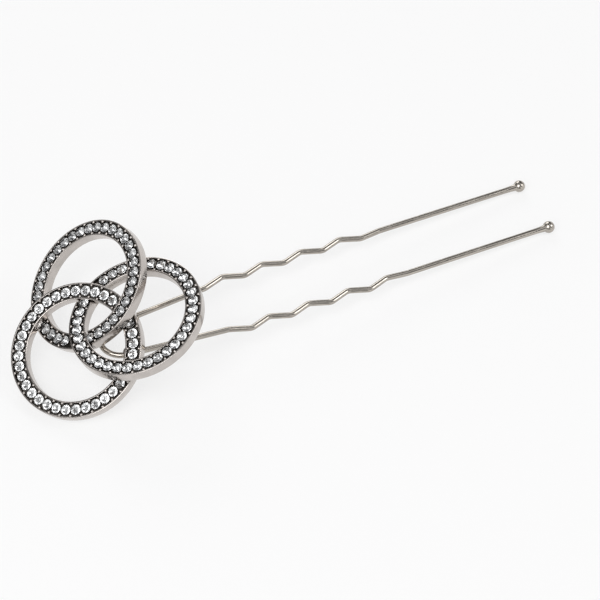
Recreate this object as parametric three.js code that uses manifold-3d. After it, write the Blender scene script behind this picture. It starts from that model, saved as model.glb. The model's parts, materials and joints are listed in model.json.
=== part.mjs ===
// A dressy two-pronged hairpin: three linked rings set with rhinestones, soldered onto the bend of a crimped wire pin.
// Millimetres, +Z up. The pin's prongs run along +X; the ornament sits over the bend, facing up and back.
// The clip stands on a table: the ornament's lowest edge and the two tip balls touch z = 0.
import * as THREE from "three";
import { mergeVertices } from "three/addons/utils/BufferGeometryUtils.js";
import Module from "manifold-3d";

// ---- Driving dimensions ----
// Pin wire
const WIRE_D = 1.0;
const PIN_LENGTH = 81.3; // from the bend's centreline to the tip balls' centres
const BEND_HALF_WIDTH = 3.4; // half the distance between the prongs where the bend ends
const TIP_HALF_WIDTH = 5.35; // half the distance between the straight prong ends
const TIP_BALL_D = 2.1;
// Crimp of the prongs, mirrored from prong to prong
const CRIMP_START = 24.3; // first outward crest
const CRIMP_PITCH = 7.3;
const CRIMP_COUNT = 4;
const CRIMP_OUT = 6.2; // half width at an outward crest
const CRIMP_IN = 4.95; // half width at an inward trough
const CRIMP_CORNER_R = 1.6; // bend radius of the crimped corners
// The prongs flex about this point, 15% of their length from the solder, as a stiff rod on a spring would
const FLEX_SHARE = 0.15;

// Rings
const RING_OUTER_R = 11.5;
const RING_BAND = 2.8; // width of the face
const RING_DEPTH = 1.9; // front to back
const RIM_WIDTH = 0.26; // plain border on each side of the stones
const CHANNEL_DEPTH = 0.3;
const EDGE_ROUND = 0.2; // bevel of the back edges
const RING_SPACING_R = 6.6; // ornament centre to each ring's centre
const RINGS = [
  // turn: about the face from the pin's direction; twist: about the ring's own radius; lean: towards the ornament's centre
  { name: "upper", turn: 82, twist: -9.7, lean: 6.5 },
  { name: "right", turn: -38, twist: -13.5, lean: 2.5 },
  { name: "lower", turn: -158, twist: -7, lean: 1 },
];
const CROSSING_GAP = 0.3; // between two bands where one passes over the other

// Rhinestones
const STONE_COUNT = 36; // places round each ring, hidden ones left out
const STONE_D = 1.8;
const STONE_SIDES = 8;
const STONE_TABLE_SHARE = 0.55; // flat top's diameter over the girdle's
const STONE_CROWN = 0.34;
const STONE_GIRDLE = 0.08;
const STONE_PAVILION = 0.7;
const STONE_RISE = 0.12; // girdle above the rim
const STONES_PER_NODE = 3;

// The ornament on the pin
const ORNAMENT_CENTRE = new THREE.Vector3(1.36, 3.68, 2.36);
const ORNAMENT_TILT = 30; // towards the bend, about the pin's crosswise axis
const ORNAMENT_ROLL = 6.8;
const SOLDER_R = 0.75; // slugs between two rings
const FILLET_R = 1.1; // blobs between the pin and a ring
const FILLETS = [
  // where the bend runs closest under each ring
  { ring: "upper", at: [0.05, 1.4, 0.5] },
  { ring: "lower", at: [3.5, -3.45, 0.45] },
];
const FIT_GAP = 0.04; // between pieces that touch or are soldered together

// ---- Materials ----
const plate = (colour, roughness) =>
  new THREE.MeshStandardMaterial({ color: colour, metalness: 1, roughness });
const RHODIUM = plate(0xcfcac6, 0.18);
const WIRE_STEEL = plate(0xc4bfb6, 0.22);
const SOLDER = plate(0xb9b5b0, 0.4);
const CRYSTAL = new THREE.MeshStandardMaterial({ color: 0xe8ecee, metalness: 0, roughness: 0.05 });

// ---- Booleans ----
const wasm = await Module();
wasm.setup();

function toSolid(geometry) {
  const bare = geometry.clone();
  bare.deleteAttribute("normal");
  bare.deleteAttribute("uv");
  const merged = mergeVertices(bare, 1e-4);
  return new wasm.Manifold(
    new wasm.Mesh({
      numProp: 3,
      vertProperties: new Float32Array(merged.attributes.position.array),
      triVerts: new Uint32Array(merged.index.array),
    }),
  );
}

function toGeometry(solid) {
  const mesh = solid.getMesh();
  return new THREE.BufferGeometry()
    .setAttribute("position", new THREE.BufferAttribute(mesh.vertProperties, 3))
    .setIndex(new THREE.BufferAttribute(mesh.triVerts, 1));
}

const biggest = (solid) =>
  solid.decompose().reduce((a, b) => (b.volume() > a.volume() ? b : a));
const placed = (geometry, matrix) => toSolid(geometry.clone().applyMatrix4(matrix));

// ---- Rings ----
const RING_INNER_R = RING_OUTER_R - RING_BAND;
const RING_MID_R = RING_OUTER_R - RING_BAND / 2;
const HALF_DEPTH = RING_DEPTH / 2;
const RING_SEGMENTS = 48;

// A lathe about +Z of a closed profile of [radius, height] points, listed so that its faces point out.
function latheZ(profile, segments) {
  const points = profile.map(([r, z]) => new THREE.Vector2(r, z));
  return new THREE.LatheGeometry(points, segments).rotateX(Math.PI / 2);
}

function closed(profile) {
  return [...profile, profile[0]];
}

// The cast band: bevelled back edges, a rim on each side of the face, and the sunk channel that holds the stones.
// A gap grows it on every side, for the cuts that leave room for it.
function bandGeometry(gap = 0) {
  const [inner, outer] = [RING_INNER_R - gap, RING_OUTER_R + gap];
  const [back, face] = [-HALF_DEPTH - gap, HALF_DEPTH + gap];
  return latheZ(
    closed([
      [inner, back + EDGE_ROUND],
      [inner + EDGE_ROUND, back],
      [outer - EDGE_ROUND, back],
      [outer, back + EDGE_ROUND],
      [outer, face],
      [outer - RIM_WIDTH - 2 * gap, face],
      [outer - RIM_WIDTH - 2 * gap, face - CHANNEL_DEPTH],
      [inner + RIM_WIDTH + 2 * gap, face - CHANNEL_DEPTH],
      [inner + RIM_WIDTH + 2 * gap, face],
      [inner, face],
    ]),
    RING_SEGMENTS,
  );
}

// An arc of a band grown by a gap, and reaching well above it, centred on an angle.
const CUTTER_HALF_ANGLE = THREE.MathUtils.degToRad(26);
const CUTTER_RISE = 4;
function crossingCutter(angle, gap) {
  const arc = new THREE.Shape();
  const [from, to] = [angle - CUTTER_HALF_ANGLE, angle + CUTTER_HALF_ANGLE];
  arc.absarc(0, 0, RING_OUTER_R + gap, from, to, false);
  arc.absarc(0, 0, RING_INNER_R - gap, to, from, true);
  const depth = RING_DEPTH + gap + CUTTER_RISE;
  return new THREE.ExtrudeGeometry(arc, { depth, bevelEnabled: false, curveSegments: 24 }).translate(
    0,
    0,
    -HALF_DEPTH - gap,
  );
}

// Each ring's place in the ornament: its centre on a circle, then turned about its own radius and leant inwards.
function ringMatrix({ turn, twist, lean }) {
  const angle = THREE.MathUtils.degToRad(turn);
  const radial = new THREE.Vector3(Math.cos(angle), Math.sin(angle), 0);
  const tangent = new THREE.Vector3(-radial.y, radial.x, 0);
  const rotation = new THREE.Matrix4()
    .makeRotationAxis(radial, THREE.MathUtils.degToRad(twist))
    .multiply(new THREE.Matrix4().makeRotationAxis(tangent, THREE.MathUtils.degToRad(lean)));
  return new THREE.Matrix4()
    .makeTranslation(radial.multiplyScalar(RING_SPACING_R))
    .multiply(rotation);
}

const rings = RINGS.map((ring) => {
  const matrix = ringMatrix(ring);
  return { ...ring, matrix, inverse: matrix.clone().invert(), plain: placed(bandGeometry(), matrix) };
});

// Where ring a's centreline crosses ring b's as seen from the front: the angle on a, the point on a, and its height over b.
function crossingsOf(a, b) {
  const STEPS = 1440;
  const found = [];
  const offset = (i) => {
    const angle = (i / STEPS) * 2 * Math.PI;
    const point = new THREE.Vector3(RING_MID_R * Math.cos(angle), RING_MID_R * Math.sin(angle), 0);
    const onA = point.applyMatrix4(a.matrix);
    const inB = onA.clone().applyMatrix4(b.inverse);
    return { angle, onA, inB, miss: Math.hypot(inB.x, inB.y) - RING_MID_R };
  };
  for (let i = 0; i < STEPS; i++) {
    const [here, next] = [offset(i), offset(i + 1)];
    if (here.miss * next.miss < 0) found.push({ ...here, height: here.inB.z });
  }
  return found;
}

// Every place where one ring passes over another, and the solder there.
const crossings = [];
for (const over of rings) {
  for (const under of rings) {
    if (over === under) continue;
    const passes = crossingsOf(over, under).filter((found) => found.height > 0);
    crossings.push(...passes.map((found) => ({ over, under, ...found })));
  }
}
const slugs = [];

// ---- Rhinestones ----
const GIRDLE_Z = HALF_DEPTH + STONE_RISE;
function stoneProfile(gap) {
  const radius = STONE_D / 2 + gap;
  return [
    [0, GIRDLE_Z - STONE_PAVILION - gap],
    [radius * 0.2, GIRDLE_Z - STONE_PAVILION - gap],
    [radius, GIRDLE_Z],
    [radius, GIRDLE_Z + STONE_GIRDLE],
    [radius * STONE_TABLE_SHARE, GIRDLE_Z + STONE_CROWN],
    [0, GIRDLE_Z + STONE_CROWN],
  ];
}

const stoneShape = (gap) => latheZ(stoneProfile(gap), STONE_SIDES);
const stoneAngle = (i) => (i / STONE_COUNT) * 2 * Math.PI;
function stoneAt(i, gap = 0) {
  const angle = stoneAngle(i);
  return stoneShape(gap)
    .rotateZ(angle)
    .translate(RING_MID_R * Math.cos(angle), RING_MID_R * Math.sin(angle), 0);
}

// A stone is left out where another band or a solder slug takes up its place.
const STONE_ROOM = 0.08;
function isCovered(ring, i) {
  const stone = placed(stoneAt(i, STONE_ROOM), ring.matrix);
  const inTheWay = [...rings.filter((other) => other !== ring).map((other) => other.plain), ...slugs.map((slug) => slug.solid)];
  return inTheWay.some((solid) => stone.intersect(solid).volume() > 0);
}

// Neighbouring stones are joined in threes, so that the object keeps to a handful of nodes for each ring.
function stoneGroups(ring) {
  const groups = [];
  let run = [];
  for (let i = 0; i < STONE_COUNT; i++) {
    const covered = isCovered(ring, i);
    if (!covered) run.push(i);
    const full = run.length === STONES_PER_NODE || covered || i === STONE_COUNT - 1;
    if (run.length && full) {
      groups.push(run);
      run = [];
    }
  }
  return groups;
}

// ---- Assembly of the ornament ----
const clip = new THREE.Group();
const ornament = new THREE.Group();
ornament.position.copy(ORNAMENT_CENTRE);
ornament.rotation.set(
  THREE.MathUtils.degToRad(ORNAMENT_ROLL),
  THREE.MathUtils.degToRad(-ORNAMENT_TILT),
  0,
  "YXZ",
);
clip.add(ornament);
ornament.updateMatrixWorld(true);

function addMesh(parent, name, solid, material) {
  const mesh = new THREE.Mesh(toGeometry(solid), material);
  mesh.name = name;
  parent.add(mesh);
  return mesh;
}

// A ring's band in the ornament's frame, grown by a gap and cut down wherever another ring passes over it.
function notchedBand(ring, gap) {
  let solid = placed(bandGeometry(gap), ring.matrix);
  for (const { over, under, angle } of crossings) {
    if (under !== ring) continue;
    solid = solid.subtract(placed(crossingCutter(angle, CROSSING_GAP - gap), over.matrix));
  }
  return solid;
}

// Solder slugs fill the gap between the two bands at each crossing.
for (const { over, under, onA, height } of crossings) {
  const normal = new THREE.Vector3(0, 0, 1).transformDirection(under.matrix);
  const length = Math.max(height, HALF_DEPTH + 2 * CROSSING_GAP);
  const slug = new THREE.CylinderGeometry(SOLDER_R, SOLDER_R, length, 16).rotateX(Math.PI / 2);
  const turn = new THREE.Quaternion().setFromUnitVectors(new THREE.Vector3(0, 0, 1), normal);
  const middle = onA.clone().addScaledVector(normal, -length / 2);
  slug.applyQuaternion(turn).translate(middle.x, middle.y, middle.z);
  const between = toSolid(slug)
    .subtract(placed(bandGeometry(FIT_GAP), over.matrix))
    .subtract(notchedBand(under, FIT_GAP));
  if (between.volume() > 0) slugs.push({ over, under, solid: biggest(between) });
}
for (const { over, under, solid } of slugs) {
  addMesh(ornament, `solder_${over.name}_over_${under.name}`, solid, SOLDER);
}

for (const ring of rings) {
  const runs = stoneGroups(ring);
  const seats = runs.flat().map((i) => placed(stoneAt(i, FIT_GAP), ring.matrix));
  const solid = notchedBand(ring, 0).subtract(wasm.Manifold.union(seats));
  addMesh(ornament, `${ring.name}_ring`, biggest(solid), RHODIUM);
  runs.forEach((run, n) => {
    const stones = wasm.Manifold.union(run.map((i) => placed(stoneAt(i), ring.matrix)));
    const number = String(n + 1).padStart(2, "0");
    addMesh(ornament, `${ring.name}_rhinestones_${number}`, stones, CRYSTAL);
  });
}

// ---- Pin ----
// Rounds each inner corner of a polyline in the plane z = 0 with an arc-like curve of about the given radius.
function roundedPath(corners, radius) {
  const path = new THREE.CurvePath();
  let from = corners[0];
  for (let i = 1; i < corners.length - 1; i++) {
    const [before, corner, after] = [corners[i - 1], corners[i], corners[i + 1]];
    const inward = before.clone().sub(corner);
    const outward = after.clone().sub(corner);
    const bend = Math.PI - inward.angleTo(outward);
    const reach = Math.min(radius * Math.tan(bend / 2), inward.length() / 2, outward.length() / 2);
    const start = corner.clone().addScaledVector(inward.normalize(), reach);
    const end = corner.clone().addScaledVector(outward.normalize(), reach);
    path.add(new THREE.LineCurve3(from, start));
    path.add(new THREE.QuadraticBezierCurve3(start, corner, end));
    from = end;
  }
  path.add(new THREE.LineCurve3(from, corners[corners.length - 1]));
  return path;
}

// A round wire along a path. Its section is stepped along the path at the given points.
const WIRE_SIDES = 10;
function wireSolid(path, steps, radius = WIRE_D / 2) {
  const section = new THREE.Shape();
  section.absarc(0, 0, radius, 0, 2 * Math.PI, false);
  const geometry = new THREE.ExtrudeGeometry(section, {
    steps,
    curveSegments: WIRE_SIDES / 2,
    extrudePath: path,
    bevelEnabled: false,
  });
  return toSolid(geometry);
}

const FLEX_X = BEND_HALF_WIDTH + FLEX_SHARE * (PIN_LENGTH - BEND_HALF_WIDTH);
const ROOT_END_X = CRIMP_START - CRIMP_PITCH / 2;
const SPREAD = (CRIMP_IN - BEND_HALF_WIDTH) / (ROOT_END_X - BEND_HALF_WIDTH);
const halfWidthAt = (x) => BEND_HALF_WIDTH + SPREAD * (x - BEND_HALF_WIDTH);

// The bend with both stubs, up to where the prongs start to flex.
function bendPath() {
  const end = FLEX_X - FIT_GAP / 2;
  const path = new THREE.CurvePath();
  const middle = new THREE.Vector3(BEND_HALF_WIDTH, 0, 0);
  const arc = [];
  const ARC_POINTS = 12;
  for (let i = 0; i <= ARC_POINTS; i++) {
    const angle = Math.PI / 2 + (i / ARC_POINTS) * Math.PI;
    arc.push(
      new THREE.Vector3(Math.cos(angle), Math.sin(angle), 0).multiplyScalar(BEND_HALF_WIDTH).add(middle),
    );
  }
  path.add(new THREE.LineCurve3(new THREE.Vector3(end, halfWidthAt(end), 0), arc[0]));
  path.add(new THREE.CatmullRomCurve3(arc));
  path.add(new THREE.LineCurve3(arc[ARC_POINTS], new THREE.Vector3(end, -halfWidthAt(end), 0)));
  return path;
}

// One prong from the flex point through the crimp to its tip ball, on the side of +Y or -Y.
function prongPath(side) {
  const start = FLEX_X + FIT_GAP / 2;
  const corners = [new THREE.Vector3(start, side * halfWidthAt(start), 0)];
  corners.push(new THREE.Vector3(ROOT_END_X, side * CRIMP_IN, 0));
  for (let i = 0; i < CRIMP_COUNT; i++) {
    const crest = CRIMP_START + i * CRIMP_PITCH;
    corners.push(new THREE.Vector3(crest, side * CRIMP_OUT, 0));
    corners.push(new THREE.Vector3(crest + CRIMP_PITCH / 2, side * CRIMP_IN, 0));
  }
  const settle = CRIMP_START + CRIMP_COUNT * CRIMP_PITCH;
  corners.push(new THREE.Vector3(settle, side * TIP_HALF_WIDTH, 0));
  corners.push(new THREE.Vector3(PIN_LENGTH, side * TIP_HALF_WIDTH, 0));
  return roundedPath(corners, CRIMP_CORNER_R);
}

const ballSolid = (gap) =>
  toSolid(new THREE.SphereGeometry(TIP_BALL_D / 2 + gap, 14, 10).rotateX(Math.PI / 2));
const bend = wireSolid(bendPath(), 44);
addMesh(clip, "pin_bend", bend, WIRE_STEEL);

// Blobs of solder hold the bend to the backs of two rings.
const grownWire = wireSolid(bendPath(), 44, WIRE_D / 2 + FIT_GAP);
for (const { ring, at } of FILLETS) {
  const blob = toSolid(new THREE.SphereGeometry(FILLET_R, 14, 10).translate(...at));
  const near = rings.find(({ name }) => name === ring);
  const band = notchedBand(near, FIT_GAP).transform(ornament.matrixWorld.elements);
  addMesh(clip, `solder_pin_to_${ring}`, biggest(blob.subtract(band).subtract(grownWire)), SOLDER);
}

for (const [side, name] of [[1, "left"], [-1, "right"]]) {
  const ballPlace = [PIN_LENGTH, side * TIP_HALF_WIDTH, 0];
  const prong = wireSolid(prongPath(side), 76).subtract(ballSolid(FIT_GAP).translate(ballPlace));
  addMesh(clip, `${name}_prong`, biggest(prong), WIRE_STEEL);
  addMesh(clip, `${name}_tip_ball`, ballSolid(0).translate(ballPlace), WIRE_STEEL);
}

// ---- Rest on the table ----
// Pitches the clip about Y until the ornament's lowest edge and the tip balls stand at one height.
clip.updateMatrixWorld(true);
const profilePoints = [];
ornament.traverse((mesh) => {
  if (!mesh.isMesh) return;
  const place = mesh.geometry.attributes.position;
  for (let i = 0; i < place.count; i++) {
    const point = new THREE.Vector3().fromBufferAttribute(place, i).applyMatrix4(mesh.matrixWorld);
    profilePoints.push(point);
  }
});
const steepest = profilePoints.reduce((most, point) => {
  const run = PIN_LENGTH - point.x;
  const drop = -point.z;
  const reach = Math.hypot(run, drop);
  return Math.max(most, Math.atan2(drop, run) - Math.asin(TIP_BALL_D / 2 / reach));
}, -Math.PI);
clip.rotation.y = steepest;
clip.updateMatrixWorld(true);
const bounds = new THREE.Box3().setFromObject(clip, true);
clip.position.set(
  -(bounds.min.x + bounds.max.x) / 2,
  -(bounds.min.y + bounds.max.y) / 2,
  -bounds.min.z,
);

export default clip;
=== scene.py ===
"""A dress hairpin: three linked rings set with rhinestones, soldered to the bend of a crimped wire pin.

Run as a script. It loads the solid frame of the hairpin, lays a finely shaped piece over each solid part,
and sets up the stage: a pale table, soft studio lamps and the camera.
All sizes are in metres, and every piece is placed from the frame's own parts and joints.
"""

import json

import bpy
import numpy as np
from bpy.props import FloatProperty, FloatVectorProperty, IntProperty, PointerProperty
from mathutils import Matrix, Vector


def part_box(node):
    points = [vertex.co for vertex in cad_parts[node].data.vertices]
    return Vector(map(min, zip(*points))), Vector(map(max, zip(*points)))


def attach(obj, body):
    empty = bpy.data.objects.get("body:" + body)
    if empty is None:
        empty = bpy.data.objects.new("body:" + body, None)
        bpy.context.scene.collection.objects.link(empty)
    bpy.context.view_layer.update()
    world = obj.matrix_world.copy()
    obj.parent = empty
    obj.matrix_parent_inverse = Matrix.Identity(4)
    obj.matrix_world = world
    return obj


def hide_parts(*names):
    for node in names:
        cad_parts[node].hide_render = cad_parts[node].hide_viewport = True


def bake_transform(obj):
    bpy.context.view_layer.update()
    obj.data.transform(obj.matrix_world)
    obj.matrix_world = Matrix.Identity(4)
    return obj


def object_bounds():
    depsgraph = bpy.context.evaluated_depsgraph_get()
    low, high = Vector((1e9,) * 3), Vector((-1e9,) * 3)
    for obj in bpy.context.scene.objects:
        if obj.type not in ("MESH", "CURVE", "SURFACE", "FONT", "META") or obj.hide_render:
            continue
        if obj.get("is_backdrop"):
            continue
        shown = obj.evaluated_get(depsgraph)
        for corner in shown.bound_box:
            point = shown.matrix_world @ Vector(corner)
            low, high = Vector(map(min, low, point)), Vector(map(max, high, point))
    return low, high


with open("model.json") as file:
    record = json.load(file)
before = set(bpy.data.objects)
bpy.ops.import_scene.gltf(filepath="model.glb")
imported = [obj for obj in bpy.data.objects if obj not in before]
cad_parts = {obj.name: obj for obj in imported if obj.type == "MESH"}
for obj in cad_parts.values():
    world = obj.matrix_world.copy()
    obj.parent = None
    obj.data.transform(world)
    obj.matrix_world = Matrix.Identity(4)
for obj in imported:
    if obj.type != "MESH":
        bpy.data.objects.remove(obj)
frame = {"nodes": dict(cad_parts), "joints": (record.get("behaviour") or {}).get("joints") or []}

bl_info = {
    "name": "Linked-ring rhinestone hairpin",
    "version": (1, 0, 0),
    "blender": (4, 5, 0),
    "location": "3D View > Sidebar > Hairpin",
    "description": "Builds the rings, rhinestones, wire pin and stage of a dress hairpin",
    "category": "Object",
}

MM = 0.001


def length(name, description, millimetres):
    """A length property, given in millimetres and held in metres."""
    return FloatProperty(
        name=name, description=description, default=millimetres * MM, unit="LENGTH", precision=5
    )


def angle(name, description, degrees):
    """An angle property, given in degrees."""
    return FloatProperty(
        name=name, description=description, default=np.radians(degrees), unit="ROTATION"
    )


def colour(name, description, value):
    """A colour property."""
    return FloatVectorProperty(
        name=name, description=description, default=value, subtype="COLOR", min=0, max=1, size=3
    )


# ---------------------------------------------------------------------------
# Sizes and colours
# ---------------------------------------------------------------------------


class RingSizes(bpy.types.PropertyGroup):
    """The three cast rings of the ornament."""

    outer_radius: length("Outer radius", "Centre to the outer wall", 11.5)
    band: length("Band", "Width of the stone-set face", 2.8)
    depth: length("Depth", "Front to back", 1.9)
    rim: length("Rim", "Border on each side of the stones", 0.26)
    channel: length("Channel", "Depth of the sunk channel, under the stones too", 0.74)
    spacing: length("Spacing", "Ornament centre to each ring's centre", 6.6)
    crossing_gap: length("Crossing gap", "Room left where one band passes over another", 0.06)
    tilt: angle("Tilt", "Ornament's rise over the pin", 30)
    roll: angle("Roll", "Ornament's turn about the pin", 6.8)
    centre: FloatVectorProperty(
        name="Centre",
        description="Ornament's centre in the pin's own frame",
        default=(1.36 * MM, 3.68 * MM, 2.36 * MM),
        subtype="TRANSLATION",
        unit="LENGTH",
    )


class StoneSizes(bpy.types.PropertyGroup):
    """The round foil-backed rhinestones."""

    places: IntProperty(name="Places", description="Places round each ring", default=36)
    diameter: length("Diameter", "Across the girdle", 1.7)
    crown: length("Crown", "Height of the cut top", 0.4)
    pavilion: length("Pavilion", "Depth of the cut underside", 0.66)
    rise: length("Rise", "Girdle's height over the rims", 0.02)
    table: FloatProperty(name="Table", description="Flat top's share of the width", default=0.5)
    bead: length("Bead", "Radius of the setting beads between stones", 0.26)
    tipping: angle("Tipping", "Usual angle by which a stone sits out of true", 2.2)


class PinSizes(bpy.types.PropertyGroup):
    """The bent and crimped spring-wire pin."""

    wire: length("Wire", "Diameter of the wire", 1.0)
    pin_length: length("Length", "Bend to the tip balls' centres", 81.3)
    bend: length("Bend", "Radius of the bend's centreline", 3.4)
    tip: length("Tip spread", "Half the distance between the ends", 5.35)
    ball: length("Tip ball", "Diameter of the rounded tips", 2.1)
    crimp_start: length("Crimp start", "First outward crest", 24.3)
    crimp_pitch: length("Crimp pitch", "Crest to crest", 7.3)
    crimp_out: length("Crimp out", "Half width at a crest", 6.2)
    crimp_in: length("Crimp in", "Half width at a trough", 4.95)
    crimp_corner: length("Crimp corner", "Radius of the crimped corners", 1.6)
    crests: IntProperty(name="Crests", description="Crests on each prong", default=4)


class Finishes(bpy.types.PropertyGroup):
    """Colours of the metals and stones."""

    plating: colour("Plating", "Bright plating of the rings", (0.59, 0.55, 0.52))
    # Dark colour of the painted shade: in the channels, in a line under the face and on the setting beads.
    painted_shade: colour("Antique", "Dark residue in the channels", (0.115, 0.104, 0.093))
    steel: colour("Steel", "Spring wire of the pin", (0.47, 0.435, 0.39))
    solder: colour("Solder", "Soft solder", (0.45, 0.43, 0.41))
    crystal: colour("Crystal", "Clear glass of the stones", (0.97, 0.98, 0.985))
    foil: colour("Foil", "Mirror foil behind the stones", (0.80, 0.80, 0.80))


class StageSettings(bpy.types.PropertyGroup):
    """Camera, lamps and table."""

    azimuth: angle("Azimuth", "Camera's direction round the object", -27.6)
    elevation: angle("Elevation", "Camera's height over the pin's plane", 48.8)
    roll: angle("Roll", "Camera's turn about its own view", -3.46)
    distance: length("Distance", "Camera to the point it looks at", 369.8)
    lens: FloatProperty(name="Lens", description="Focal length in millimetres", default=132)
    look_at: FloatVectorProperty(
        name="Look at",
        description="Point at the middle of the view, in the pin's own frame",
        default=(34.25 * MM, -3.71 * MM, 0),
        subtype="TRANSLATION",
        unit="LENGTH",
    )
    table_colour: colour("Table", "Pale table top", (0.93, 0.93, 0.93))
    glow: colour("Glow", "Near white that the table shows when it is seen", (0.955, 0.955, 0.955))
    glow_share: FloatProperty(name="Glow share", description="How much the glow shows", default=0.72)
    key: FloatProperty(name="Key lamp", description="Power", default=2.05, unit="POWER")
    fill: FloatProperty(name="Fill lamp", description="Power", default=1.2, unit="POWER")
    rim_lamp: FloatProperty(name="Rim lamp", description="Power", default=0.8, unit="POWER")


# Each ring's turn about the ornament, twist about its own radius and lean towards the centre, in degrees.
RINGS = {
    "upper": (82.0, -9.7, 6.5),
    "right": (-38.0, -13.5, 2.5),
    "lower": (-158.0, -7.0, 1.0),
}
RING_STEPS = 512

# A notch under another ring has ends that rise eight for one, and reaches this far from the other's band.
NOTCH_SLOPE = 8
NOTCH_REACH = 1.5 * MM

# A frame stone's top stands this high over the rims, and a place holds one if a corner of it is this near.
SOLID_CROWN = 0.46 * MM
SAME_PLACE = 0.15 * MM
# Room that a stone keeps from another band: beside it, with its own ring above it, and under its back.
ROOM_BESIDE = 0.25 * MM
ROOM_OVER = 0.6 * MM
ROOM_UNDER = 0.05 * MM
STONE_SEED = 7
# Painted shade value of the setting beads: a little darkness between the stones.
BEAD_PAINTED_SHADE = 0.12

# The wire swells by this share over this length at its tip.
TIP_SWELL = 0.35
TIP_SWELL_LENGTH = 1.4 * MM


# ---------------------------------------------------------------------------
# Placing
# ---------------------------------------------------------------------------


def turned(axis, radians):
    """The 3 by 3 matrix of a turn about an axis: cosine, sine and cross-product parts added together."""
    x, y, z = np.array(axis, float) / np.linalg.norm(axis)
    cross = np.array([[0, -z, y], [z, 0, -x], [-y, x, 0]])
    return np.eye(3) + np.sin(radians) * cross + (1 - np.cos(radians)) * cross @ cross


def place(rotation, translation):
    """A 4 by 4 matrix from a turn and a shift."""
    matrix = np.eye(4)
    matrix[:3, :3] = rotation
    matrix[:3, 3] = translation
    return matrix


def moved(points, matrix):
    """An array of points, whatever its shape, under a 4 by 4 matrix."""
    return points @ matrix[:3, :3].T + matrix[:3, 3]


def pin_matrix():
    """The pin's own frame: +Z is the prongs' hinge axis, +X runs to the tips, and the origin is at the bend."""
    normal = np.array(frame["joints"][0]["axis"], float)
    normal = normal / np.linalg.norm(normal) * np.sign(normal[2])
    across = np.array([0.0, 1.0, 0.0])
    along = np.cross(across, normal)
    tips = [np.mean(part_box(f"{side}_tip_ball"), axis=0) for side in ("left", "right")]
    origin = np.mean(tips, axis=0) - along * bpy.context.scene.hairpin_pin.pin_length
    return place(np.column_stack([along, across, normal]), origin)


def ring_matrix(name):
    """A ring's own frame, face up: shifted out along its radius, turned about it and about its tangent."""
    sizes = bpy.context.scene.hairpin_ring
    turn, twist, lean = np.radians(RINGS[name])
    radial = np.array([np.cos(turn), np.sin(turn), 0])
    tangent = np.array([-np.sin(turn), np.cos(turn), 0])
    local = place(turned(radial, twist) @ turned(tangent, lean), radial * sizes.spacing)
    ornament = place(
        turned((0, 1, 0), -sizes.tilt) @ turned((1, 0, 0), sizes.roll), np.array(sizes.centre)
    )
    return pin_matrix() @ ornament @ local


# ---------------------------------------------------------------------------
# Meshes
# ---------------------------------------------------------------------------


def grid_quads(rows, columns, wrap_rows, wrap_columns):
    """Corner indices of the quads of a grid of points, joined round where it wraps."""
    r = np.arange(rows if wrap_rows else rows - 1)[:, None]
    c = np.arange(columns if wrap_columns else columns - 1)[None, :]
    r2, c2 = (r + 1) % rows, (c + 1) % columns
    corners = (r * columns + c, r2 * columns + c, r2 * columns + c2, r * columns + c2)
    return np.stack(corners, axis=-1).reshape(-1, 4)


def outward(points, faces):
    """The faces, all turned round if the signed volume under them is negative."""
    volume = sum(
        np.einsum("ij,ij->", points[faces[:, 0]], np.cross(points[faces[:, k]], points[faces[:, k + 1]]))
        for k in range(1, faces.shape[1] - 1)
    )
    return faces if volume > 0 else faces[:, ::-1]


def capped(grid, first_pole, last_pole):
    """A closed shape from rows of points: quads between the rows, and a fan of triangles to a pole at each end.

    Quads and fans go the same way round, and are turned round together if they would face inwards.
    """
    rows, sides = grid.shape[:2]
    points = np.concatenate([grid.reshape(-1, 3), [first_pole, last_pole]])
    here = np.arange(sides)
    after, last_row, pole = (here + 1) % sides, (rows - 1) * sides, rows * sides
    quads = grid_quads(rows, sides, False, True)
    fans = np.concatenate(
        [
            np.column_stack([here, after, 0 * here + pole]),
            np.column_stack([last_row + after, last_row + here, 0 * here + pole + 1]),
        ]
    )
    faced = outward(points, quads)
    return points, [faced, fans if faced is quads else fans[:, ::-1]]


def add_piece(name, points, faces, materials, smooth=True, indices=None):
    """A mesh object at the origin from an array of points and a list of face arrays."""
    points = np.asarray(points, float).reshape(-1, 3)
    mesh = bpy.data.meshes.new(name)
    mesh.from_pydata(points.tolist(), [], [f for block in faces for f in block.tolist()])
    for material in materials:
        mesh.materials.append(material)
    mesh.polygons.foreach_set("use_smooth", np.full(len(mesh.polygons), smooth))
    if indices is not None:
        mesh.polygons.foreach_set("material_index", np.asarray(indices, np.int32))
    mesh.update()
    piece = bpy.data.objects.new(name, mesh)
    bpy.context.scene.collection.objects.link(piece)
    return piece


def point_value(piece, name, values):
    """Stores one number for each point of a piece."""
    attribute = piece.data.attributes.new(name, "FLOAT", "POINT")
    attribute.data.foreach_set("value", np.asarray(values, np.float32).ravel())


def rounded(corners, radii, steps=5):
    """A closed outline with rounded corners, each a quadratic curve between points on its two edges."""
    corners, radii = np.array(corners, float), np.array(radii, float)[:, None]
    before, after = np.roll(corners, 1, axis=0), np.roll(corners, -1, axis=0)
    inward = (before - corners) / np.linalg.norm(before - corners, axis=1, keepdims=True)
    onward = (after - corners) / np.linalg.norm(after - corners, axis=1, keepdims=True)
    start, end = corners + inward * radii, corners + onward * radii
    t = np.linspace(0, 1, steps)[None, :, None]
    curve = (1 - t) ** 2 * start[:, None] + 2 * t * (1 - t) * corners[:, None] + t**2 * end[:, None]
    return curve.reshape(-1, 2)


# ---------------------------------------------------------------------------
# Finishes
# ---------------------------------------------------------------------------


def new_material(name):
    """An empty node material with its shader and output, and the node tree to add to."""
    material = bpy.data.materials.new(name)
    material.use_nodes = True
    tree = material.node_tree
    return material, tree, tree.nodes["Principled BSDF"]


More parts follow.
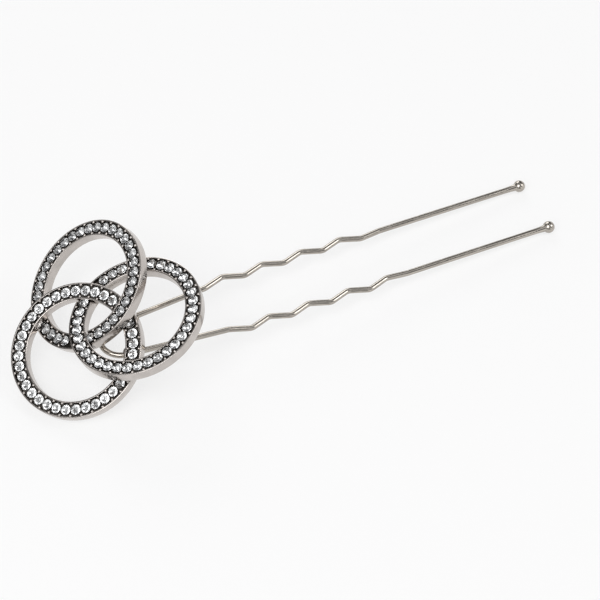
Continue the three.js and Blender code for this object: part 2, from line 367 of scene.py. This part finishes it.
def node(tree, kind, **values):
    """A shader node with some of its inputs or settings filled in."""
    made = tree.nodes.new(kind)
    for key, value in values.items():
        if key in made.inputs:
            made.inputs[key].default_value = value
        else:
            setattr(made, key, value)
    return made


def object_noise(tree, scale, detail=4, stretch=(1, 1, 1)):
    """Noise on the object's own coordinates, stretched along its axes."""
    place_ = node(tree, "ShaderNodeTexCoord")
    mapping = node(tree, "ShaderNodeMapping", Scale=stretch)
    noise = node(tree, "ShaderNodeTexNoise", Scale=scale, Detail=detail, Roughness=0.6)
    tree.links.new(place_.outputs["Object"], mapping.inputs["Vector"])
    tree.links.new(mapping.outputs["Vector"], noise.inputs["Vector"])
    return noise.outputs["Fac"]


def ramp(tree, source, low, high, at=(0.35, 0.65)):
    """A number taken smoothly from low to high as the source goes between two levels."""
    made = node(tree, "ShaderNodeMapRange")
    made.interpolation_type = "SMOOTHSTEP"
    made.inputs["From Min"].default_value, made.inputs["From Max"].default_value = at
    made.inputs["To Min"].default_value, made.inputs["To Max"].default_value = low, high
    tree.links.new(source, made.inputs["Value"])
    return made.outputs["Result"]


def colour_mix(tree, factor, first, second):
    """One colour faded into another by a factor."""
    made = node(tree, "ShaderNodeMix", data_type="RGBA")
    tree.links.new(factor, made.inputs["Factor"])
    for socket, value in ((6, first), (7, second)):
        made.inputs[socket].default_value = (*value, 1)
    return made.outputs[2]


def bumped(tree, shader, height, distance, strength):
    """Raises the surface by a height, in metres."""
    made = node(tree, "ShaderNodeBump", Strength=strength, Distance=distance)
    tree.links.new(height, made.inputs["Height"])
    tree.links.new(made.outputs["Normal"], shader.inputs["Normal"])


def shade(value, factor):
    """A colour made lighter or darker."""
    return tuple(min(1.0, part * factor) for part in value)


def plating_finish():
    """Cast and plated metal: walls with faint ripples, and painted shade, broken up by a speckle, where the
    shade value stored on the points is high.
    """
    finishes = bpy.context.scene.hairpin_finish
    material, tree, shader = new_material("cast_plating")
    shader.inputs["Metallic"].default_value = 1
    clouds = object_noise(tree, 420)
    walls = colour_mix(
        tree, ramp(tree, clouds, 0, 1), shade(finishes.plating, 0.86), finishes.plating
    )
    # Painted shade: the dark colour is mixed in where the points' shade value, raised by a speckle, is high,
    # and those places are made rougher too.
    shade_mask = node(tree, "ShaderNodeAttribute", attribute_name="painted_shade")
    speckle = object_noise(tree, 2600, detail=3)
    speckled_shade = node(tree, "ShaderNodeMath", operation="MULTIPLY_ADD")
    tree.links.new(speckle, speckled_shade.inputs[0])
    speckled_shade.inputs[1].default_value = 0.7
    tree.links.new(shade_mask.outputs["Fac"], speckled_shade.inputs[2])
    dark = ramp(tree, speckled_shade.outputs[0], 0, 1, at=(0.62, 0.95))
    mix = node(tree, "ShaderNodeMix", data_type="RGBA")
    tree.links.new(dark, mix.inputs["Factor"])
    tree.links.new(walls, mix.inputs[6])
    mix.inputs[7].default_value = (*finishes.painted_shade, 1)
    tree.links.new(mix.outputs[2], shader.inputs["Base Color"])
    gloss = ramp(tree, clouds, 0.13, 0.26)
    worn = node(tree, "ShaderNodeMath", operation="MULTIPLY_ADD")
    tree.links.new(dark, worn.inputs[0])
    worn.inputs[1].default_value = 0.3
    tree.links.new(gloss, worn.inputs[2])
    tree.links.new(worn.outputs[0], shader.inputs["Roughness"])
    bumped(tree, shader, object_noise(tree, 900, detail=2), 0.00004, 0.6)
    return material


def steel_finish():
    """Drawn spring wire: faint lines along the wire and small changes of gloss."""
    finishes = bpy.context.scene.hairpin_finish
    material, tree, shader = new_material("pin_steel")
    shader.inputs["Metallic"].default_value = 1
    lines = object_noise(tree, 2400, detail=3, stretch=(0.03, 1, 1))
    tone = colour_mix(tree, ramp(tree, lines, 0, 1), shade(finishes.steel, 0.82), finishes.steel)
    tree.links.new(tone, shader.inputs["Base Color"])
    tree.links.new(ramp(tree, object_noise(tree, 300), 0.12, 0.24), shader.inputs["Roughness"])
    bumped(tree, shader, lines, 0.000006, 0.5)
    return material


def solder_finish():
    """Soft solder: duller, with a slightly uneven skin."""
    finishes = bpy.context.scene.hairpin_finish
    material, tree, shader = new_material("soft_solder")
    shader.inputs["Metallic"].default_value = 1
    skin = object_noise(tree, 1300)
    tone = colour_mix(tree, ramp(tree, skin, 0, 1), shade(finishes.solder, 0.7), finishes.solder)
    tree.links.new(tone, shader.inputs["Base Color"])
    tree.links.new(ramp(tree, skin, 0.45, 0.25), shader.inputs["Roughness"])
    bumped(tree, shader, skin, 0.00008, 0.7)
    return material


def crystal_finish():
    """Clear cut glass, with the faint haze that handling leaves on its facets."""
    finishes = bpy.context.scene.hairpin_finish
    material, tree, shader = new_material("rhinestone_crystal")
    shader.inputs["Transmission Weight"].default_value = 1
    shader.inputs["IOR"].default_value = 1.56
    haze = object_noise(tree, 700)
    tone = colour_mix(tree, ramp(tree, haze, 0, 1), finishes.crystal, shade(finishes.crystal, 0.95))
    tree.links.new(tone, shader.inputs["Base Color"])
    tree.links.new(ramp(tree, haze, 0.0, 0.035, at=(0.5, 0.75)), shader.inputs["Roughness"])
    return material


def foil_finish():
    """The mirror foil on a stone's underside, a little mottled."""
    finishes = bpy.context.scene.hairpin_finish
    material, tree, shader = new_material("rhinestone_foil")
    shader.inputs["Metallic"].default_value = 1
    mottle = object_noise(tree, 1500)
    tone = colour_mix(tree, ramp(tree, mottle, 0, 1), shade(finishes.foil, 0.75), finishes.foil)
    tree.links.new(tone, shader.inputs["Base Color"])
    tree.links.new(ramp(tree, mottle, 0.05, 0.15), shader.inputs["Roughness"])
    return material


def finish(name, make):
    """A finish by name, made once."""
    return bpy.data.materials.get(name) or make()


# ---------------------------------------------------------------------------
# Rings
# ---------------------------------------------------------------------------

def band_outline(sizes):
    """The band's section as (radius, height, painted shade) rows: rounded edges, soft rims and a sunk channel.

    The painted shade grows from a quarter to one down the channel's walls, darkening the recess, and a faint
    painted shadow line, a bell curve of the depth, lies just under the face on the outer and inner walls.
    """
    inner, outer = sizes.outer_radius - sizes.band, sizes.outer_radius
    face, back, floor = sizes.depth / 2, -sizes.depth / 2, sizes.depth / 2 - sizes.channel
    slope = 0.04 * MM
    corners = [
        (inner, back),
        (outer, back),
        (outer, face),
        (outer - sizes.rim, face),
        (outer - sizes.rim - slope, floor),
        (inner + sizes.rim + slope, floor),
        (inner + sizes.rim, face),
        (inner, face),
    ]
    radii = np.array([0.2, 0.2, 0.1, 0.05, 0.06, 0.06, 0.05, 0.1]) * MM
    outline = rounded(corners, radii)
    in_channel = (outline[:, 0] > inner + 0.6 * sizes.rim) & (outline[:, 0] < outer - 0.6 * sizes.rim)
    depth = np.clip((face - outline[:, 1]) / (0.12 * MM), 0, 1)
    # Painted shade down the channel's walls, darker with depth.
    painted_shade = np.where(in_channel & (outline[:, 1] > back / 2), 0.25 + 0.75 * depth, 0.0)
    # A painted shadow line just under the face on the outer and inner walls.
    shadow_line = 0.42 * np.exp(-(((face - outline[:, 1]) / MM - 0.16) / 0.09) ** 2)
    painted_shade = np.where(in_channel, painted_shade, shadow_line)
    return np.column_stack([outline, painted_shade])


def under_the_others(points, middles, name, sizes):
    """Presses a band down where another passes over it, to a plane a gap below the other's back.

    The plane belongs to the other ring's frame, and rises outside the other's band for the notch's sloped ends.
    """
    middle_radius, reach = sizes.outer_radius - sizes.band / 2, sizes.band / 2 + sizes.crossing_gap
    for other in RINGS:
        if other == name:
            continue
        matrix = ring_matrix(other)
        inverse = np.linalg.inv(matrix)
        seen, centre = moved(points, inverse), moved(middles, inverse)
        beyond = np.abs(np.hypot(seen[..., 0], seen[..., 1]) - middle_radius) - reach
        limit = -sizes.depth / 2 - sizes.crossing_gap + NOTCH_SLOPE * np.clip(beyond, 0, None)
        pressed = (centre[..., 2] < 0) & (beyond < NOTCH_REACH) & (seen[..., 2] > limit)
        seen[..., 2] = np.where(pressed, limit, seen[..., 2])
        points = moved(seen, matrix)
    return points


class HAIRPIN_OT_rings(bpy.types.Operator):
    """Builds the three cast rings: the band's section carried once round a circle"""

    bl_idname = "hairpin.rings"
    bl_label = "Build rings"

    def execute(self, context):
        sizes = context.scene.hairpin_ring
        plating = finish("cast_plating", plating_finish)
        outline = band_outline(sizes)
        for name in RINGS:
            matrix = ring_matrix(name)
            turn = np.linspace(0, 2 * np.pi, RING_STEPS, endpoint=False)[:, None]
            radius, height = outline[None, :, 0], outline[None, :, 1] + 0 * turn
            local = np.stack([radius * np.cos(turn), radius * np.sin(turn), height], axis=-1)
            flat = np.stack([local[..., 0], local[..., 1], 0 * height], axis=-1)
            points = under_the_others(moved(local, matrix), moved(flat, matrix), name, sizes)
            flat_points = points.reshape(-1, 3)
            faces = outward(flat_points, grid_quads(*points.shape[:2], True, True))
            piece = add_piece(f"{name}_ring_band", flat_points, [faces], [plating])
            # The section's painted shade, stored on every point of the band.
            point_value(piece, "painted_shade", np.broadcast_to(outline[:, 2], points.shape[:2]))
            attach(piece, "ornament")
            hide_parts(f"{name}_ring")
        return {"FINISHED"}


# ---------------------------------------------------------------------------
# Rhinestones
# ---------------------------------------------------------------------------


def stone_places(name):
    """Turns of the places round a ring, and which hold a stone.

    Those are the places of the frame's own stones, and any where the other bands are beside, over or under.
    """
    rings, stones = bpy.context.scene.hairpin_ring, bpy.context.scene.hairpin_stone
    turns = np.arange(stones.places) / stones.places * 2 * np.pi
    radius = rings.outer_radius - rings.band / 2
    middles = np.stack([radius * np.cos(turns), radius * np.sin(turns), 0 * turns], axis=-1)
    crowns = middles + np.array([0, 0, rings.depth / 2 + SOLID_CROWN])
    middles, tops = moved(middles, ring_matrix(name)), moved(crowns, ring_matrix(name))
    nodes = [o for n, o in frame["nodes"].items() if n.startswith(f"{name}_rhinestones")]
    solids = np.concatenate([np.array([v.co for v in o.data.vertices]) for o in nodes])
    nearest = np.array([np.linalg.norm(solids - top, axis=1).min() for top in tops])
    clear = np.ones(len(turns), bool)
    for other in RINGS:
        inverse = np.linalg.inv(ring_matrix(other))
        seen, centre = moved(tops, inverse), moved(middles, inverse)
        beside = np.abs(np.hypot(seen[:, 0], seen[:, 1]) - radius) - rings.band / 2
        over, under = centre[:, 2] > ROOM_OVER, seen[:, 2] < -rings.depth / 2 - ROOM_UNDER
        clear &= (other == name) | (beside > ROOM_BESIDE) | over | under
    return turns, (nearest < SAME_PLACE) | clear


def brilliant(sizes):
    """A round brilliant with its girdle at height 0: its points, its triangles, and how many are glass.

    Sixteen girdle corners; eight table corners, with eight star points between them and the girdle;
    below, eight lower points and the culet. Kites, stars and girdle facets are triangles between them.
    """
    radius, girdle = sizes.diameter / 2, 0.035 * MM
    whole = np.arange(8) * np.pi / 4
    half = whole + np.pi / 8
    sixteen = np.arange(16) * np.pi / 8

    def circle(turns, share, height):
        return np.column_stack(
            [share * radius * np.cos(turns), share * radius * np.sin(turns), np.full_like(turns, height)]
        )

    points = np.concatenate(
        [
            circle(whole, sizes.table, sizes.crown),
            circle(half, 0.5 * (1 + sizes.table) + 0.02, 0.52 * sizes.crown),
            circle(sixteen, 1.0, girdle),
            circle(sixteen, 1.0, -girdle),
            circle(half, 0.36, -0.68 * sizes.pavilion),
            [[0, 0, sizes.crown], [0, 0, -sizes.pavilion]],
        ]
    )
    table, star, upper, lower, deep, top, culet = 0, 8, 16, 32, 48, 56, 57
    k = np.arange(8)
    n, ring, i = (k + 1) % 8, np.arange(16), 2 * k
    glass = [
        (0 * k + top, table + k, table + n),
        (table + k, star + k, table + n),
        (table + k, upper + i, star + k),
        (table + n, star + k, upper + (i + 2) % 16),
        (star + k, upper + i, upper + i + 1),
        (star + k, upper + i + 1, upper + (i + 2) % 16),
        (upper + ring, lower + ring, lower + (ring + 1) % 16),
        (upper + ring, lower + (ring + 1) % 16, upper + (ring + 1) % 16),
    ]
    foil = [
        (lower + i, deep + k, lower + i + 1),
        (lower + i + 1, deep + k, lower + (i + 2) % 16),
        (lower + i, 0 * k + culet, deep + k),
        (deep + k, 0 * k + culet, lower + (i + 2) % 16),
    ]
    blocks = [np.column_stack(f) for f in glass + foil]
    return points, np.concatenate(blocks), sum(len(b) for b in blocks[: len(glass)])


def copies(points, faces, matrices):
    """One mesh of many copies of a shape: the points under each matrix, and the faces counted on."""
    made = np.einsum("nij,pj->npi", matrices[:, :3, :3], points) + matrices[:, None, :3, 3]
    shifted = faces[None] + (np.arange(len(matrices)) * len(points))[:, None, None]
    return made.reshape(-1, 3), shifted.reshape(-1, faces.shape[1])


class HAIRPIN_OT_stones(bpy.types.Operator):
    """Sets the rhinestones in the rings' channels, each turned and tipped a little differently"""

    bl_idname = "hairpin.stones"
    bl_label = "Set rhinestones"

    def execute(self, context):
        rings, stones = context.scene.hairpin_ring, context.scene.hairpin_stone
        crystal = finish("rhinestone_crystal", crystal_finish)
        foil = finish("rhinestone_foil", foil_finish)
        random = np.random.default_rng(STONE_SEED)
        points, faces, glass = brilliant(stones)
        faces = outward(points, faces)
        radius = rings.outer_radius - rings.band / 2
        for name in RINGS:
            turns, present = stone_places(name)
            if present.sum() < stones.places // 2:
                raise RuntimeError(f"only {present.sum()} stones of the {name} ring were found")
            spins = random.uniform(0, np.pi / 4, len(turns))
            tips = random.normal(0, stones.tipping, (len(turns), 2))
            placed = [
                ring_matrix(name)
                @ place(
                    turned((0, 0, 1), turn + spin) @ turned((1, 0, 0), tip[0]) @ turned((0, 1, 0), tip[1]),
                    (radius * np.cos(turn), radius * np.sin(turn), rings.depth / 2 + stones.rise),
                )
                for turn, spin, tip in zip(turns[present], spins[present], tips[present])
            ]
            made, shifted = copies(points, faces, np.array(placed))
            kinds = np.tile(np.arange(len(faces)) >= glass, len(placed))
            piece = add_piece(f"{name}_ring_stones", made, [shifted], [crystal, foil], False, kinds)
            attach(piece, "ornament")
            nodes = sorted(n for n in frame["nodes"] if n.startswith(f"{name}_rhinestones"))
            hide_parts(*nodes)
        return {"FINISHED"}


def dome(radius, sides=8, rows=4):
    """A small closed dome: circles that shrink with the cosine and rise with the sine, with pointed ends."""
    lift = np.linspace(-0.5, np.pi / 2, rows + 1)[:-1, None]
    turns = np.linspace(0, 2 * np.pi, sides, endpoint=False)[None, :]
    circles = np.stack(
        [np.cos(lift) * np.cos(turns), np.cos(lift) * np.sin(turns), np.sin(lift) + 0 * turns], axis=-1
    )
    points = np.concatenate([circles.reshape(-1, 3), [[0, 0, 1], [0, 0, -0.5]]]) * radius
    quads = grid_quads(rows, sides, False, True)
    split = np.concatenate([quads[:, [0, 1, 2]], quads[:, [0, 2, 3]]])
    k = np.arange(sides)
    n = (k + 1) % sides
    last = (rows - 1) * sides
    top = np.column_stack([last + k, 0 * k + rows * sides, last + n])
    bottom = np.column_stack([n, 0 * k + rows * sides + 1, k])
    faces = np.concatenate([split, top, bottom])
    return points, outward(points, faces)


class HAIRPIN_OT_beads(bpy.types.Operator):
    """Adds the tiny setting beads raised between neighbouring stones"""

    bl_idname = "hairpin.beads"
    bl_label = "Add setting beads"

    def execute(self, context):
        rings, stones = context.scene.hairpin_ring, context.scene.hairpin_stone
        plating = finish("cast_plating", plating_finish)
        points, faces = dome(stones.bead)
        middle = rings.outer_radius - rings.band / 2
        half = rings.band / 2 - rings.rim - 0.6 * stones.bead
        for name in RINGS:
            turns, present = stone_places(name)
            between = turns + np.pi / stones.places
            kept = between[present & np.roll(present, -1)]
            radii = np.concatenate([np.full_like(kept, middle + half), np.full_like(kept, middle - half)])
            both = np.concatenate([kept, kept])
            height = rings.depth / 2 - 0.35 * stones.bead
            centres = np.stack([radii * np.cos(both), radii * np.sin(both), 0 * both + height], axis=-1)
            matrix = ring_matrix(name)
            matrices = np.repeat(matrix[None], len(both), axis=0)
            matrices[:, :3, 3] = moved(centres, matrix)
            made, shifted = copies(points, faces, matrices)
            piece = add_piece(f"{name}_ring_beads", made, [shifted], [plating])
            # The beads' painted shade, stored on every point.
            point_value(piece, "painted_shade", np.full(len(made), BEAD_PAINTED_SHADE))
            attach(piece, "ornament")
        return {"FINISHED"}


# ---------------------------------------------------------------------------
# Pin
# ---------------------------------------------------------------------------


def rounded_run(corners, radius, steps=14):
    """An open run with its inner corners rounded: straight stretches joined by quadratic curves.

    Each curve reaches the corner radius times the tangent of half the bend along both its edges.
    """
    corners = np.array(corners, float)
    inward, onward = corners[:-2] - corners[1:-1], corners[2:] - corners[1:-1]
    near, far = np.linalg.norm(inward, axis=1), np.linalg.norm(onward, axis=1)
    bend = np.pi - np.arccos(np.clip(np.einsum("ij,ij->i", inward, onward) / near / far, -1, 1))
    reach = np.minimum(radius * np.tan(bend / 2), np.minimum(near, far) / 2)[:, None]
    start = corners[1:-1] + inward / near[:, None] * reach
    end = corners[1:-1] + onward / far[:, None] * reach
    t = np.linspace(0, 1, steps)[None, :, None]
    curve = (1 - t) ** 2 * start[:, None] + 2 * t * (1 - t) * corners[1:-1, None] + t**2 * end[:, None]
    return np.concatenate([corners[:1], curve.reshape(-1, 2), corners[-1:]])


def wire_line(sizes):
    """Half the pin's centreline as (x, y) rows, and each row's distance from the tip.

    A quarter turn at the bend, then the crimped prong, stepped evenly along its length.
    """
    turns = np.linspace(np.pi, np.pi / 2, 24)
    quarter = np.column_stack([sizes.bend + sizes.bend * np.cos(turns), sizes.bend * np.sin(turns)])
    corners = [(sizes.bend, sizes.bend), (sizes.crimp_start - sizes.crimp_pitch / 2, sizes.crimp_in)]
    for crest in range(sizes.crests):
        x = sizes.crimp_start + crest * sizes.crimp_pitch
        corners += [(x, sizes.crimp_out), (x + sizes.crimp_pitch / 2, sizes.crimp_in)]
    settled = sizes.crimp_start + sizes.crests * sizes.crimp_pitch
    corners += [(settled, sizes.tip), (sizes.pin_length, sizes.tip)]
    line = np.concatenate([quarter[:-1], rounded_run(corners, sizes.crimp_corner)])
    steps = np.linalg.norm(np.diff(line, axis=0), axis=1)
    run = np.concatenate([[0], np.cumsum(steps)])
    keep = np.concatenate([[True], steps > 1e-7])
    even = np.linspace(0, run[-1], int(run[-1] / (0.14 * MM)))
    return np.column_stack([np.interp(even, run[keep], line[keep, k]) for k in (0, 1)]), run[-1] - even


def tube(line, radii, sides=28):
    """A wire: at each point of a flat line, a circle across its direction, of the radius given there."""
    direction = np.gradient(line, axis=0)
    direction /= np.linalg.norm(direction, axis=1, keepdims=True)
    across = np.column_stack([-direction[:, 1], direction[:, 0], 0 * direction[:, 0]])[:, None, :]
    around = np.linspace(0, 2 * np.pi, sides, endpoint=False)[None, :, None]
    centre = np.column_stack([line, 0 * line[:, 0]])[:, None, :]
    ring = np.cos(around) * across + np.sin(around) * np.array([0.0, 0.0, 1.0])
    return capped(centre + radii[:, None, None] * ring, centre[0, 0], centre[-1, 0])


class HAIRPIN_OT_pin(bpy.types.Operator):
    """Bends the spring-wire pin, in two halves that meet at the bend, with their rounded tips"""

    bl_idname = "hairpin.pin"
    bl_label = "Bend pin"

    def execute(self, context):
        sizes = context.scene.hairpin_pin
        steel = finish("pin_steel", steel_finish)
        matrix = pin_matrix()
        line, to_tip = wire_line(sizes)
        radii = sizes.wire / 2 * (1 + TIP_SWELL * np.exp(-((to_tip / TIP_SWELL_LENGTH) ** 2)))
        for side, sign in (("left", 1), ("right", -1)):
            points, faces = tube(line * (1, sign), radii)
            piece = add_piece(f"{side}_pin_wire", moved(points, matrix), faces, [steel])
            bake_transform(piece)
            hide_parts(f"{side}_prong", "pin_bend")
            self.tip(side, sign, sizes, matrix, steel)
        return {"FINISHED"}

    def tip(self, side, sign, sizes, matrix, steel):
        """A rounded tip: a half circle turned about the prong, x by the cosine and the radius by the sine."""
        radius = sizes.ball / 2
        along = np.linspace(np.pi, 0, 25)[1:-1, None]
        around = np.linspace(0, 2 * np.pi, 40, endpoint=False)[None, :]
        x, out = radius * np.cos(along), radius * np.sin(along)
        grid = np.stack([x + 0 * around, out * np.cos(around), out * np.sin(around)], axis=-1)
        points, faces = capped(grid, (-radius, 0, 0), (radius, 0, 0))
        points = moved(points + (sizes.pin_length, sign * sizes.tip, 0), matrix)
        piece = add_piece(f"{side}_tip", points, faces, [steel])
        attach(piece, f"{side}_prong")
        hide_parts(f"{side}_tip_ball")


# ---------------------------------------------------------------------------
# Solder
# ---------------------------------------------------------------------------


class HAIRPIN_OT_solder(bpy.types.Operator):
    """Flows solder over the joints: smooth blobs on the bend, and a finish on the slugs between the rings"""

    bl_idname = "hairpin.solder"
    bl_label = "Flow solder"

    def execute(self, context):
        solder = finish("soft_solder", solder_finish)
        for name, solid in frame["nodes"].items():
            if name.startswith("solder_pin_to_"):
                self.blob(name, solder)
            elif name.startswith("solder_"):
                solid.data.materials.clear()
                solid.data.materials.append(solder)
        return {"FINISHED"}

    def blob(self, name, solder):
        """A sphere over the solid's box, its surface swelled and sunk a twentieth by waves round it."""
        low, high = (np.array(c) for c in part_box(name))
        lift = np.linspace(-np.pi / 2, np.pi / 2, 33)[1:-1, None]
        around = np.linspace(0, 2 * np.pi, 48, endpoint=False)[None, :]
        swell = 0.95 + 0.03 * np.sin(3 * around + 2 * lift) * np.cos(lift) + 0.02 * np.cos(2 * around)
        grid = np.stack(
            [np.cos(lift) * np.cos(around), np.cos(lift) * np.sin(around), np.sin(lift) + 0 * around], axis=-1
        )
        points, faces = capped(grid * swell[..., None], (0, 0, -0.95), (0, 0, 0.95))
        points = (low + high) / 2 + points * (high - low) / 2
        piece = add_piece(name.replace("solder_", "blob_"), points, faces, [solder])
        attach(piece, "ornament")
        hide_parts(name)


# ---------------------------------------------------------------------------
# Stage
# ---------------------------------------------------------------------------


def lamp(name, direction, distance, size, power, target):
    """A square soft lamp, facing the object from a direction."""
    data = bpy.data.lights.new(name, "AREA")
    data.shape, data.size, data.energy = "SQUARE", size, power
    made = bpy.data.objects.new(name, data)
    bpy.context.scene.collection.objects.link(made)
    back = np.array(direction, float) / np.linalg.norm(direction)
    right = np.cross((0, 0, 1), back)
    right /= np.linalg.norm(right)
    matrix = place(np.column_stack([right, np.cross(back, right), back]), target + back * distance)
    made.matrix_world = Matrix(matrix.tolist())
    return made


class HAIRPIN_OT_stage(bpy.types.Operator):
    """Sets out the table, lamps, surroundings and camera"""

    bl_idname = "hairpin.stage"
    bl_label = "Set stage"

    def execute(self, context):
        settings = context.scene.hairpin_stage
        low, high = (np.array(c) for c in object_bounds())
        centre = (low + high) / 2
        self.table(settings, low[2])
        self.surroundings()
        lamp("key_lamp", (-0.6, -0.5, 1.1), 0.6, 0.42, settings.key, centre)
        lamp("fill_lamp", (0.9, -0.5, 0.7), 0.7, 0.35, settings.fill, centre)
        lamp("rim_lamp", (0.2, 1.0, 0.6), 0.6, 0.3, settings.rim_lamp, centre)
        self.camera(settings)
        context.scene.view_settings.view_transform = "Standard"
        return {"FINISHED"}

    def table(self, settings, height):
        """A wide pale table top, which glows to near white when seen directly, in metal or through glass."""
        size = 1.6
        grid = np.linspace(-size, size, 2)
        x, y = np.meshgrid(grid, grid, indexing="ij")
        points = np.stack([x, y, 0 * x + height - 0.00002], axis=-1)
        material, tree, shader = new_material("table_top")
        shader.inputs["Roughness"].default_value = 0.7
        shader.inputs["Specular IOR Level"].default_value = 0.1
        shader.inputs["Base Color"].default_value = (*settings.table_colour, 1)
        path = node(tree, "ShaderNodeLightPath")
        seen = node(tree, "ShaderNodeMath", operation="MAXIMUM")
        seen_all = node(tree, "ShaderNodeMath", operation="MAXIMUM")
        tree.links.new(path.outputs["Is Camera Ray"], seen.inputs[0])
        tree.links.new(path.outputs["Is Glossy Ray"], seen.inputs[1])
        tree.links.new(seen.outputs[0], seen_all.inputs[0])
        tree.links.new(path.outputs["Is Transmission Ray"], seen_all.inputs[1])
        share = node(tree, "ShaderNodeMath", operation="MULTIPLY")
        tree.links.new(seen_all.outputs[0], share.inputs[0])
        share.inputs[1].default_value = settings.glow_share
        glow = node(tree, "ShaderNodeEmission", Color=(*settings.glow, 1), Strength=1.0)
        mix = node(tree, "ShaderNodeMixShader")
        tree.links.new(share.outputs[0], mix.inputs[0])
        tree.links.new(shader.outputs[0], mix.inputs[1])
        tree.links.new(glow.outputs[0], mix.inputs[2])
        tree.links.new(mix.outputs[0], tree.nodes["Material Output"].inputs["Surface"])
        floor = add_piece("table_top", points, [grid_quads(2, 2, False, False)], [material], False)
        if floor.data.polygons[0].normal.z < 0:
            floor.data.flip_normals()
        floor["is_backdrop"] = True

    def surroundings(self):
        """A room, pale at the horizon and grey overhead, with light and dark patches to show in the metal."""
        world = bpy.data.worlds.new("room")
        bpy.context.scene.world = world
        world.use_nodes = True
        tree = world.node_tree
        background = tree.nodes["Background"]
        place_ = node(tree, "ShaderNodeTexCoord")
        split = node(tree, "ShaderNodeSeparateXYZ")
        tree.links.new(place_.outputs["Generated"], split.inputs[0])
        shades = node(tree, "ShaderNodeValToRGB")
        tree.links.new(split.outputs["Z"], shades.inputs["Fac"])
        stops = shades.color_ramp.elements
        stops[0].position, stops[0].color = 0.0, (0.95, 0.95, 0.95, 1)
        stops[1].position, stops[1].color = 1.0, (0.5, 0.5, 0.51, 1)
        for position, value in ((0.12, 0.8), (0.3, 0.55), (0.6, 0.45)):
            stop = stops.new(position)
            stop.color = (value, value, value, 1)
        patches = node(tree, "ShaderNodeTexNoise", Scale=2.6, Detail=1)
        tree.links.new(place_.outputs["Generated"], patches.inputs["Vector"])
        level = ramp(tree, patches.outputs["Fac"], 0.1, 1.7, at=(0.4, 0.6))
        dimmed = node(tree, "ShaderNodeVectorMath", operation="SCALE")
        tree.links.new(shades.outputs["Color"], dimmed.inputs[0])
        tree.links.new(level, dimmed.inputs["Scale"])
        tree.links.new(dimmed.outputs[0], background.inputs["Color"])
        background.inputs["Strength"].default_value = 1.0

    def camera(self, settings):
        """The camera, placed in the pin's own frame: back along its line of view from the point it looks at."""
        matrix = pin_matrix()
        azimuth, elevation = settings.azimuth, settings.elevation
        back = np.array(
            [
                np.sin(azimuth) * np.cos(elevation),
                -np.cos(azimuth) * np.cos(elevation),
                np.sin(elevation),
            ]
        )
        target = np.array(settings.look_at)
        right = np.cross(-back, (0, 0, 1))
        right /= np.linalg.norm(right)
        up = np.cross(right, -back)
        turn = turned(back, -settings.roll)
        axes = np.column_stack([turn @ right, turn @ up, back])
        data = bpy.data.cameras.new("camera")
        data.lens, data.sensor_width = settings.lens, 36
        made = bpy.data.objects.new("camera", data)
        bpy.context.scene.collection.objects.link(made)
        made.matrix_world = Matrix((matrix @ place(axes, target + back * settings.distance)).tolist())
        data.clip_start, data.clip_end = 0.01, 20
        bpy.context.scene.camera = made


# ---------------------------------------------------------------------------
# Panel and registration
# ---------------------------------------------------------------------------

OPERATORS = (
    HAIRPIN_OT_rings,
    HAIRPIN_OT_stones,
    HAIRPIN_OT_beads,
    HAIRPIN_OT_pin,
    HAIRPIN_OT_solder,
    HAIRPIN_OT_stage,
)
GROUPS = {
    "hairpin_ring": RingSizes,
    "hairpin_stone": StoneSizes,
    "hairpin_pin": PinSizes,
    "hairpin_finish": Finishes,
    "hairpin_stage": StageSettings,
}


class HAIRPIN_PT_panel(bpy.types.Panel):
    """Lists the build steps and their sizes"""

    bl_idname = "HAIRPIN_PT_panel"
    bl_label = "Hairpin"
    bl_space_type = "VIEW_3D"
    bl_region_type = "UI"
    bl_category = "Hairpin"

    def draw(self, context):
        for operator in OPERATORS:
            self.layout.operator(operator.bl_idname)
        for attribute, group in GROUPS.items():
            box = self.layout.box()
            box.label(text=group.__doc__)
            for key in group.__annotations__:
                box.prop(getattr(context.scene, attribute), key)


def register():
    for group in GROUPS.values():
        bpy.utils.register_class(group)
    for attribute, group in GROUPS.items():
        setattr(bpy.types.Scene, attribute, PointerProperty(type=group))
    for each in (*OPERATORS, HAIRPIN_PT_panel):
        bpy.utils.register_class(each)


def unregister():
    for each in reversed((*OPERATORS, HAIRPIN_PT_panel)):
        bpy.utils.unregister_class(each)
    for attribute, group in reversed(GROUPS.items()):
        delattr(bpy.types.Scene, attribute)
        bpy.utils.unregister_class(group)


def main():
    """Registers everything and builds each piece in turn."""
    register()
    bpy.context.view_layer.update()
    bpy.ops.hairpin.rings()
    bpy.ops.hairpin.stones()
    bpy.ops.hairpin.beads()
    bpy.ops.hairpin.pin()
    bpy.ops.hairpin.solder()
    bpy.ops.hairpin.stage()


if __name__ == "__main__":
    main()
